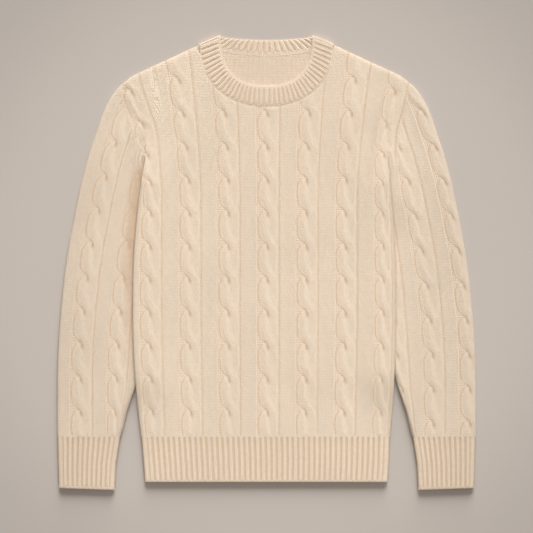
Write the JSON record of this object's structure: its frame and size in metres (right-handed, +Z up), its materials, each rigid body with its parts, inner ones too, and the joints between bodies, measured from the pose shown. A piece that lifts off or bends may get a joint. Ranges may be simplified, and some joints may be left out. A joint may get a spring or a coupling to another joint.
{
  "type": "cable knit sweater",
  "caption": "Crew neck sweater in cream wool, laid flat on its back with the sleeves beside the body; rope cables, ribbed neckband, hem and cuffs.",
  "frame": {"origin": "on the surface it lies on, under the middle of the garment's outline", "axes": "+Z up from the surface through the layers, +Y from hem to neck, +X towards the wearer's left"},
  "size_m": [0.6498, 0.7065, 0.0169],
  "materials": {
    "cable_knit": "soft matt wool, rope cables between purl gutters and stockinette strips",
    "plain_knit": "soft matt wool stockinette",
    "rib_knit": "soft matt wool rib, knit one purl one"
  },
  "bodies": {
    "root": {"front": "cable_knit", "back": "plain_knit", "sleeve_left": "cable_knit", "sleeve_right": "cable_knit", "hem_band": "rib_knit", "cuff_left": "rib_knit", "cuff_right": "rib_knit", "neckband": "rib_knit"}
  },
  "joints": []
}
